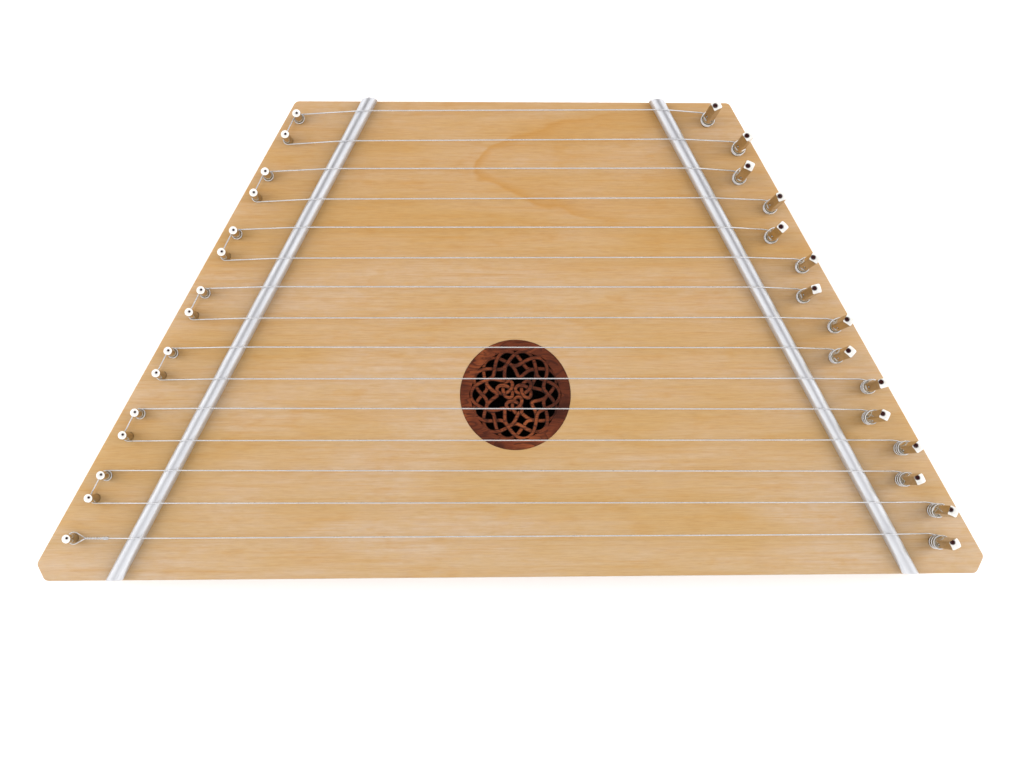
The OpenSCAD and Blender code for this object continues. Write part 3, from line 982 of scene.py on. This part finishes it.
def softbox(name, side, y):
    """A soft light beside the box that leaves no strip of its own on the polished metal."""
    data = bpy.data.lights.new(name, "AREA")
    data.shape = "RECTANGLE"
    data.size, data.size_y = SOFTBOX_SIZE
    data.energy = SOFTBOX_POWER
    light = bpy.data.objects.new(name, data)
    bpy.context.collection.objects.link(light)
    light.visible_glossy = False
    light.location = (side * SOFTBOX_AWAY, y, SOFTBOX_HIGH)
    target = Vector((side * 0.1, 0, 0.03))
    light.rotation_euler = (target - light.location).to_track_quat("-Z", "Y").to_euler()


def make_lights():
    """A white room, greyer and with one dark opening overhead, and a low softbox at each side."""
    world = bpy.data.worlds.new("studio")
    bpy.context.scene.world = world
    world.use_nodes = True
    tree = world.node_tree
    ray = tree.nodes.new("ShaderNodeTexCoord").outputs["Generated"]
    split = tree.nodes.new("ShaderNodeSeparateXYZ")
    tree.links.new(ray, split.inputs[0])
    ramp = tree.nodes.new("ShaderNodeValToRGB")
    tree.links.new(split.outputs["Z"], ramp.inputs["Fac"])
    wall, ceiling = ramp.color_ramp.elements
    wall.position = 0.35
    wall.color = (1, 1, 1, 1)
    ceiling.position = 0.85
    ceiling.color = (0.78, 0.78, 0.79, 1)
    opening = tree.nodes.new("ShaderNodeVectorMath")
    opening.operation = "DOT_PRODUCT"
    tree.links.new(ray, opening.inputs[0])
    opening.inputs[1].default_value = OPENING_WAY
    edge = tree.nodes.new("ShaderNodeMapRange")
    edge.interpolation_type = "SMOOTHSTEP"
    tree.links.new(opening.outputs["Value"], edge.inputs["Value"])
    edge.inputs["From Min"].default_value = math.cos(OPENING_EDGE)
    edge.inputs["From Max"].default_value = math.cos(OPENING_CORE)
    shade = tree.nodes.new("ShaderNodeMix")
    shade.data_type = "RGBA"
    tree.links.new(edge.outputs["Result"], shade.inputs[0])
    tree.links.new(ramp.outputs["Color"], shade.inputs[6])
    shade.inputs[7].default_value = (0.03, 0.008, 0.008, 1)
    background = tree.nodes["Background"]
    tree.links.new(shade.outputs[2], background.inputs["Color"])
    background.inputs["Strength"].default_value = ROOM_LIGHT
    softbox("softbox_left", -1, 0.02)
    softbox("softbox_right", 1, 0.06)
    bpy.context.scene.view_settings.view_transform = "Standard"


# ---------- the whole ----------


def build():
    make_camera()
    make_lights()
    make_floor()
    pale, deep, figure = tone(166, 139, 108), tone(161, 127, 80), tone(157, 113, 54)
    arch_at = (-0.0175, 0.0755, 0)
    # painted sheen that pales the board towards its front edge
    painted_sheen = (1.0, 1.09, 1.25, 1)
    board_wood = plain_wood("soundboard_maple", pale, deep, figure, arch=arch_at, painted_sheen=painted_sheen)
    back_tones = (tone(180, 150, 106), tone(168, 132, 88), tone(150, 106, 60))
    back_wood = plain_wood("back_maple", *back_tones, shift=(0.3, 0.2, 0.1))
    rail_tones = (tone(176, 142, 98), tone(162, 124, 80), tone(142, 98, 56))
    rail_wood = plain_wood("rail_maple", *rail_tones, shift=(0.1, 0.4, 0))
    edge_lean = math.atan2(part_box("pin_block")[1].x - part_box("pin_block")[0].x, 2 * BACK_Y)
    block_turn = math.pi / 2 + edge_lean
    dark_tones = (tone(170, 134, 92), tone(152, 116, 74), tone(134, 90, 50))
    pin_block_wood = plain_wood("pin_block_maple", *dark_tones, turn=block_turn, shift=(0.2, 0, 0))
    hitch_block_wood = plain_wood("hitch_block_maple", *dark_tones, turn=-block_turn, shift=(0, 0.3, 0))
    brace_tones = (tone(186, 162, 122), tone(172, 144, 102), tone(152, 118, 76))
    brace_wood = plain_wood("brace_spruce", *brace_tones)
    finish_cad_nodes(rail_wood, "treble_rail", "bass_rail")
    finish_cad_nodes(pin_block_wood, "pin_block")
    finish_cad_nodes(hitch_block_wood, "hitch_block")
    finish_cad_nodes(brace_wood, "brace_upper", "brace_lower")
    make_soundboard(board_wood)
    make_back(back_wood, inner_painted_shade("inside_painted_shade"))
    make_rosette(rosewood("rosewood_face"), rosewood("rosewood_painted_side_shade", 0.25))
    make_rods()
    plating = nickel("nickel_plate")
    steel = music_wire("bright_music_wire")
    make_hitch_pins(plating)
    make_tuning_pins(plating)
    for k in PAIRS:
        make_pair(k, steel)
    make_single(steel)
    make_coils(steel)


build()
